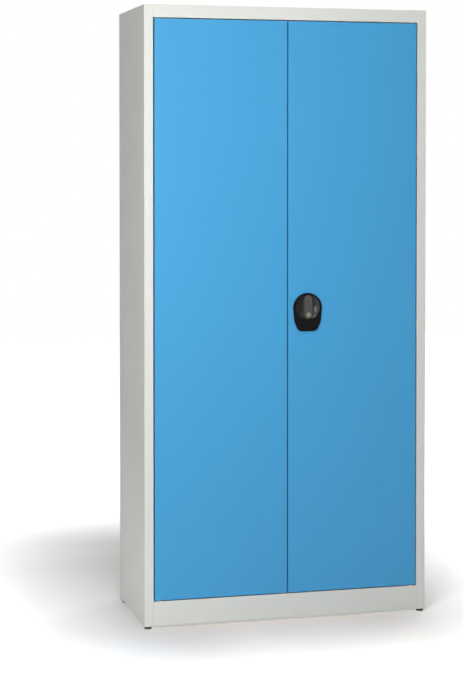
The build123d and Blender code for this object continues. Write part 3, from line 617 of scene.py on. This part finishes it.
def finish_shield(shield):
    """Two square screw pads on the back of the bowl, with their holes."""
    pad_back = SHIELD_HIGH.y
    for hand in (-1, 1):
        x = AXIS_X + hand * PAD_RADIUS * math.cos(PAD_ANGLE)
        z = AXIS_Z + hand * PAD_RADIUS * math.sin(PAD_ANGLE)
        half = PAD_WIDTH / math.sqrt(2)
        pad = [
            (half, BOWL_BACK - BOWL_WALL / 2),
            (half, pad_back - PAD_CHAMFER_UP),
            (half - PAD_CHAMFER_IN, pad_back),
        ]
        merge(shield, turned(x, z, pad, sides=4, turn=math.pi / 4), "UNION")
        hole = [(PAD_HOLE, pad_back - PAD_HOLE_DEPTH), (PAD_HOLE, pad_back + CUT_OVER)]
        merge(shield, turned(x, z, hole, sides=32), "DIFFERENCE")


def finish_fin(fin):
    """Neck through the dish with the spindle's socket, and the bore of the lock cylinder."""
    neck = [
        (NECK_RADIUS, BOWL_BACK - NECK_LENGTH),
        (NECK_RADIUS, BOWL_BACK - NECK_CHAMFER),
        (NECK_RADIUS - NECK_CHAMFER, BOWL_BACK),
    ]
    merge(fin, turned(AXIS_X, AXIS_Z, neck), "UNION")
    corner = (SPINDLE_HIGH.x - SPINDLE_LOW.x + SPINDLE_PLAY) / math.sqrt(2)
    socket = [(corner, SPINDLE_LOW.y), (corner, BOWL_BACK + CUT_OVER)]
    merge(fin, turned(AXIS_X, AXIS_Z, socket, sides=4, turn=math.pi / 4), "DIFFERENCE")
    lock_x = (LOCK_LOW.x + LOCK_HIGH.x) / 2
    lock_z = (LOCK_LOW.z + LOCK_HIGH.z) / 2
    lock_radius = (LOCK_HIGH.x - LOCK_LOW.x) / 2 + LOCK_PLAY
    hole = [(lock_radius, FIN_FRONT - 2 * CUT_OVER), (lock_radius, LOCK_HIGH.y + LOCK_PLAY)]
    merge(fin, turned(lock_x, lock_z, hole), "DIFFERENCE")


def build_handle():
    """Both meshes that take the place of the plain housing and fin."""
    finish_shield(build_shield())
    finish_fin(build_fin())


# ---------------------------------------------------------------- small pieces


def weld_marks(name, rows, slot, body):
    """Spot-weld marks, dimples with a raised rim, along rows (x, y, low z, high z, normal)."""
    bm = bmesh.new()
    for x, y, low, high, normal in rows:
        count = max(2, round((high - low - 2 * MARK_END) / MARK_PITCH) + 1)
        across = Vector((normal.y, -normal.x, 0.0))
        for number in range(count):
            z = low + MARK_END + (high - low - 2 * MARK_END) * number / (count - 1)
            z += random.uniform(-MARK_DRIFT, MARK_DRIFT)
            aside = random.uniform(-MARK_DRIFT_ACROSS, MARK_DRIFT_ACROSS)
            middle = Vector((x, y, z)) + across * aside
            rings = []
            for radius, rise in MARK_PROFILE:
                rings.append([
                    middle
                    + normal * rise * MM
                    + across * radius * MM * math.cos(2 * math.pi * i / MARK_SIDES)
                    + Vector((0.0, 0.0, radius * MM * math.sin(2 * math.pi * i / MARK_SIDES)))
                    for i in range(MARK_SIDES)
                ])
            loops = ring_grid(bm, rings, closed=False)
            bm.faces.new(loops[0])
            bm.faces.new(loops[-1])
    mesh_object(name, bm, slot, body)


def build_weld_marks():
    """Marks on the feet of the uprights and on the flanges of the door stiffeners."""
    rows = []
    for side, hand in (("left", -1), ("right", 1)):
        for row in ("front", "back"):
            low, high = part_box(f"upright_{row}_{side}")
            wall = high.x if hand > 0 else low.x
            x = wall - hand * UPRIGHT_SHEET
            normal = Vector((-hand, 0.0, 0.0))
            for y in (low.y + UPRIGHT_FOOT / 2, high.y - UPRIGHT_FOOT / 2):
                rows.append((x, y, low.z, high.z, normal))
    weld_marks("weld_marks_body", rows, "body_paint", "carcass")
    for side in ("left", "right"):
        low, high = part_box(f"door_stiffener_{side}")
        y = low.y + DOOR_SHEET
        normal = Vector((0.0, 1.0, 0.0))
        rows = [
            (x, y, low.z, high.z, normal)
            for x in (low.x + STIFFENER_FLANGE / 2, high.x - STIFFENER_FLANGE / 2)
        ]
        weld_marks(f"weld_marks_door_{side}", rows, "door_paint", f"door_{side}")


def soften_nodes():
    """Breaks the sharp edges of the small turned and stamped pieces."""
    for name, width in SOFT_EDGES.items():
        obj = NODES[name]
        weld = obj.modifiers.new("weld", "WELD")
        weld.merge_threshold = SOFT_WELD
        bevel = obj.modifiers.new("edges", "BEVEL")
        bevel.width = width
        bevel.segments = 2
        bevel.limit_method = "ANGLE"
        bevel.angle_limit = SOFT_ANGLE
        bevel.harden_normals = True


# ---------------------------------------------------------------- camera, light, floor


def build_camera():
    """Camera of the photograph; the vertical shift keeps its uprights upright."""
    data = bpy.data.cameras.new("camera")
    data.sensor_width = SENSOR
    data.lens = FOCAL_PIXELS * SENSOR / FRAME_PIXELS
    data.shift_y = (HORIZON_PIXELS - FRAME_PIXELS / 2) / FRAME_PIXELS
    data.clip_end = CAMERA_FAR
    camera = link(bpy.data.objects.new("camera", data))
    camera.location = CAMERA_PLACE
    camera.rotation_euler = (math.pi / 2 + CAMERA_PITCH, 0.0, CAMERA_YAW)
    bpy.context.scene.camera = camera


def softbox(name, place, target, width, height, power, spread=math.pi):
    """Rectangular area light that looks at a target."""
    data = bpy.data.lights.new(name, "AREA")
    data.shape = "RECTANGLE"
    data.size = width
    data.size_y = height
    data.energy = power
    data.spread = spread
    lamp = link(bpy.data.objects.new(name, data))
    lamp.location = place
    lamp.visible_camera = False
    lamp.rotation_mode = "QUATERNION"
    lamp.rotation_quaternion = (Vector(target) - Vector(place)).to_track_quat("-Z", "Y")


def build_light():
    """Softboxes: (name, place, target, width, height, watts), and a spread where it is narrow."""
    middle = (0.0, 0.0, 1.0)
    front = (0.0, -0.2, 1.0)
    for lamp in (
        ("near_left", (-1.02, -2.0, 1.4), front, 0.9, 1.2, 30.5),
        ("near_high", (-0.8, -2.0, 3.2), (0.0, -0.2, 1.2), 1.2, 1.0, 21.0),
        ("over_front", (0.3, -1.6, 4.4), (0.0, -0.6, 0.0), 3.0, 1.6, 28.5),
        ("front_mid", (-1.0, -5.5, 2.6), middle, 3.0, 2.4, 12.0),
        ("low_fill", (-1.0, -0.35, 0.06), (-0.465, 0.0, 0.14), 0.7, 0.12, 0.22, LOW_FILL_SPREAD),
        ("overhead", (0.2, 0.9, 4.6), (0.0, 0.0, 0.0), 3.6, 3.0, 26.0),
        ("back_right", (2.8, 3.0, 4.0), middle, 2.0, 2.0, 60.0),
        ("behind", (0.6, 4.6, 2.4), middle, 1.8, 2.0, 50.0),
    ):
        softbox(*lamp)


def any_ray(nodes, links, kinds):
    """1 for rays of the given kinds, 0 for the rest."""
    path = nodes.new("ShaderNodeLightPath")
    total = path.outputs[kinds[0]]
    for kind in kinds[1:]:
        either = nodes.new("ShaderNodeMath")
        either.operation = "MAXIMUM"
        links.new(total, either.inputs[0])
        links.new(path.outputs[kind], either.inputs[1])
        total = either.outputs["Value"]
    return total


def build_world():
    """Even pale light; the camera and mirror-like surfaces see plain white."""
    world = bpy.data.worlds.new("studio")
    bpy.context.scene.world = world
    world.use_nodes = True
    nodes = world.node_tree.nodes
    links = world.node_tree.links
    background = nodes["Background"]
    background.inputs["Color"].default_value = (1.0, 1.0, 1.0, 1.0)
    level = nodes.new("ShaderNodeMapRange")
    level.inputs["To Min"].default_value = WORLD_LIGHT
    level.inputs["To Max"].default_value = 1.0
    seen = any_ray(nodes, links, ("Is Camera Ray", "Is Glossy Ray", "Is Transmission Ray"))
    links.new(seen, level.inputs["Value"])
    links.new(level.outputs["Result"], background.inputs["Strength"])


def vector_math(s, operation, first, second=None):
    """Result of a vector operation on a value, with a constant where it takes two."""
    node = s.nodes.new("ShaderNodeVectorMath")
    node.operation = operation
    s.links.new(first, node.inputs[0])
    if second is not None:
        node.inputs[1].default_value = second
    return node.outputs["Value" if operation == "LENGTH" else "Vector"]


def away_from(s, box_middle, box_half):
    """Distance from an upright box."""
    place = vector_math(s, "SUBTRACT", s.place, box_middle)
    beyond = vector_math(s, "SUBTRACT", vector_math(s, "ABSOLUTE", place), box_half)
    return vector_math(s, "LENGTH", vector_math(s, "MAXIMUM", beyond, (0.0, 0.0, 0.0)))


def ramp(s, distance, reach, near, far):
    """Value that goes smoothly from near to far over a reach."""
    rise = s.nodes.new("ShaderNodeMapRange")
    rise.interpolation_type = "SMOOTHSTEP"
    rise.inputs["From Max"].default_value = reach
    rise.inputs["To Min"].default_value = near
    rise.inputs["To Max"].default_value = far
    s.links.new(distance, rise.inputs["Value"])
    return rise.outputs["Result"]


def glow(s, level, rays):
    """White emission of a level, for rays of the given kinds."""
    strength = s.nodes.new("ShaderNodeMath")
    strength.operation = "MULTIPLY"
    s.links.new(level, strength.inputs[0])
    s.links.new(any_ray(s.nodes, s.links, rays), strength.inputs[1])
    emission = s.nodes.new("ShaderNodeEmission")
    s.links.new(strength.outputs["Value"], emission.inputs["Strength"])
    return emission.outputs["Emission"]


def floor_material():
    """Matt floor, lifted by a glow to white away from the cabinet for the camera and in
    reflections, with painted shade and a painted shadow near the cabinet, painted light under it
    and a painted warm tint before the doors.
    """
    seen_rays = ("Is Camera Ray",)
    mirrored_rays = ("Is Glossy Ray", "Is Transmission Ray")
    s = Shading("floor", FLOOR_COLOUR, FLOOR_ROUGHNESS)
    s.shader.inputs["Specular IOR Level"].default_value = FLOOR_SHINE
    # painted shade: the glow is held back near this box
    away = away_from(s, PAINTED_SHADE_MIDDLE, PAINTED_SHADE_HALF)
    under = away_from(s, UNDER_MIDDLE, UNDER_HALF)
    # painted shadow: the floor colour goes toward black near this box
    painted_shadow = ramp(s, away_from(s, PAINTED_SHADOW_MIDDLE, PAINTED_SHADOW_HALF), PAINTED_SHADOW_REACH, PAINTED_SHADOW_SHARE, 0.0)
    # painted tint: warmer ground before the doors, to cancel their blue light
    painted_warmth = ramp(s, away_from(s, DOORWAY_MIDDLE, DOORWAY_HALF), DOORWAY_REACH, 1.0, 0.0)
    # painted shadow and painted warm tint, seen by the camera only
    colour = s.tint(painted_shadow, s.tint(painted_warmth, FLOOR_COLOUR, DOORWAY_PAINTED_WARMTH), (0.0, 0.0, 0.0))
    s.use(s.tint(any_ray(s.nodes, s.links, seen_rays), FLOOR_COLOUR, colour))

    lift = s.nodes.new("ShaderNodeMath")  # adds the two
    s.links.new(ramp(s, away, LIFT_REACH, 0.0, LIFT_FAR), lift.inputs[0])
    # painted light: a glow that lifts the ground right under the cabinet
    s.links.new(ramp(s, under, UNDER_REACH, UNDER_PAINTED_LIGHT, 0.0), lift.inputs[1])
    lit = s.nodes.new("ShaderNodeAddShader")
    s.links.new(s.shader.outputs["BSDF"], lit.inputs[0])
    s.links.new(glow(s, lift.outputs["Value"], seen_rays), lit.inputs[1])
    # painted shade in reflections: the ground there is a glow, dimmer near the cabinet
    mirrored = glow(s, ramp(s, away, LIFT_REACH, MIRROR_NEAR, 1.0), mirrored_rays)
    shown = s.nodes.new("ShaderNodeMixShader")
    s.links.new(any_ray(s.nodes, s.links, mirrored_rays), shown.inputs["Fac"])
    s.links.new(lit.outputs["Shader"], shown.inputs[1])
    s.links.new(mirrored, shown.inputs[2])
    s.links.new(shown.outputs["Shader"], s.nodes["Material Output"].inputs["Surface"])
    return s.material


def build_floor():
    """Pale floor that keeps the soft shadow, deepened by painted shade, and is white to the camera
    away from the cabinet.
    """
    bm = bmesh.new()
    bmesh.ops.create_grid(bm, x_segments=1, y_segments=1, size=FLOOR_SIZE)
    mesh = bpy.data.meshes.new("floor")
    bm.to_mesh(mesh)
    bm.free()
    mesh.materials.append(floor_material())
    floor = link(bpy.data.objects.new("floor", mesh))


def set_scene():
    """Plain view transform; every other view setting stays at its default."""
    bpy.context.scene.view_settings.view_transform = "Standard"


random.seed(7)  # weld marks
finish_nodes()
build_handle()
build_weld_marks()
soften_nodes()
build_camera()
build_light()
build_world()
build_floor()
set_scene()
